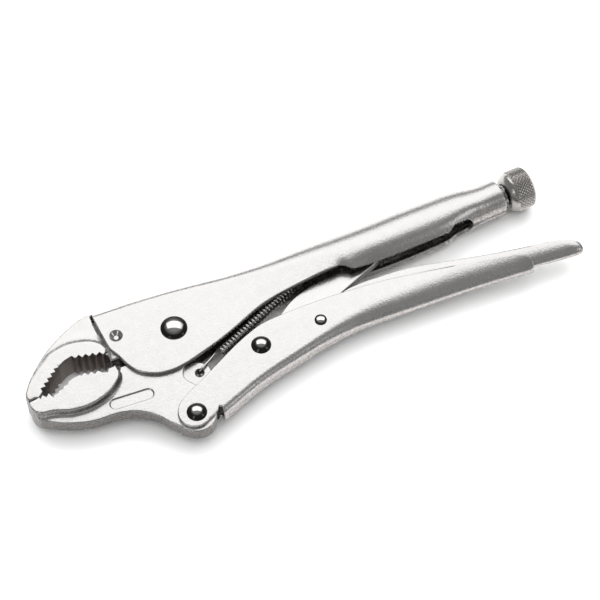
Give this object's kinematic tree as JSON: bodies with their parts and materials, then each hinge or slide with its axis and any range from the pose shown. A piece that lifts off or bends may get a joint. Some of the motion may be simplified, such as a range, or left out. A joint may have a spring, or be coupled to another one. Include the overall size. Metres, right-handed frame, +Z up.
{
  "type": "locking pliers",
  "caption": "Locking pliers with curved toothed jaws, folded steel handles, a toggle link, a release lever, a return spring and a knurled adjusting knob.",
  "frame": {"origin": "under the middle of the tool's box, on the plane that the tool lies on", "axes": "+X along the tool from the jaws to the knob, +Y from the lower handle to the upper handle, +Z up through the tool's thickness"},
  "size_m": [0.2548, 0.0744, 0.0194],
  "materials": {
    "handle_sheet": "satin nickel plate over stamped sheet steel",
    "forged_jaw": "satin nickel plate over forged steel, fine pebbled grain",
    "polished_rivet": "polished nickel plate",
    "link_steel": "satin nickel plate",
    "screw_steel": "oiled steel thread",
    "knob_steel": "diamond knurled, dark nickel plate",
    "spring_wire": "bright drawn spring wire"
  },
  "bodies": {
    "upper_handle": {"upper_handle": "handle_sheet", "upper_jaw": "forged_jaw", "upper_jaw_pin": "polished_rivet", "main_pivot_rivet": "polished_rivet", "thread_bushing": "screw_steel", "spring_anchor": "link_steel", "return_spring": "spring_wire"},
    "lower_jaw": {"lower_jaw": "forged_jaw"},
    "lower_handle": {"lower_handle": "handle_sheet", "jaw_lever_rivet": "polished_rivet", "link_rivet": "polished_rivet", "release_rivet": "polished_rivet"},
    "toggle_link": {"toggle_link": "link_steel"},
    "release_lever": {"release_lever": "handle_sheet"},
    "adjusting_screw": {"adjusting_screw": "screw_steel"},
    "knob": {"knurled_knob": "knob_steel"}
  },
  "joints": [
    {"name": "handle_fold", "type": "hinge", "parent": "lower_jaw", "child": "lower_handle", "pos_m": [-0.0644, -0.0286, 0.0097], "axis": [0, 0, 1], "range_deg": [-58, 0]},
    {"name": "jaw_open", "type": "hinge", "parent": "upper_handle", "child": "lower_jaw", "pos_m": [-0.0562, 0.0136, 0.0097], "axis": [0, 0, 1], "range_deg": [0, 16.3], "deforming": ["return_spring"]},
    {"name": "link_swing", "type": "hinge", "parent": "lower_handle", "child": "toggle_link", "pos_m": [-0.0256, -0.0106, 0.0097], "axis": [0, 0, 1], "range_deg": [0, 65]},
    {"name": "release_swing", "type": "hinge", "parent": "lower_handle", "child": "release_lever", "pos_m": [0.0033, -0.0105, 0.0097], "axis": [0, 0, 1], "range_deg": [0, 7]},
    {"name": "screw_travel", "type": "slide", "parent": "upper_handle", "child": "adjusting_screw", "axis": [1, 0, 0], "range_m": [0, 0.012]},
    {"name": "knob_turn", "type": "hinge", "parent": "adjusting_screw", "child": "knob", "pos_m": [0.1158, 0.0155, 0.0097], "axis": [1, 0, 0], "range_deg": [0, 2881]}
  ],
  "couplings": [
    {"joint": "jaw_open", "follows": "handle_fold", "ratio": -0.28},
    {"joint": "link_swing", "follows": "handle_fold", "ratio": -1.12},
    {"joint": "knob_turn", "follows": "screw_travel", "rad_per_m": 4188.8}
  ]
}
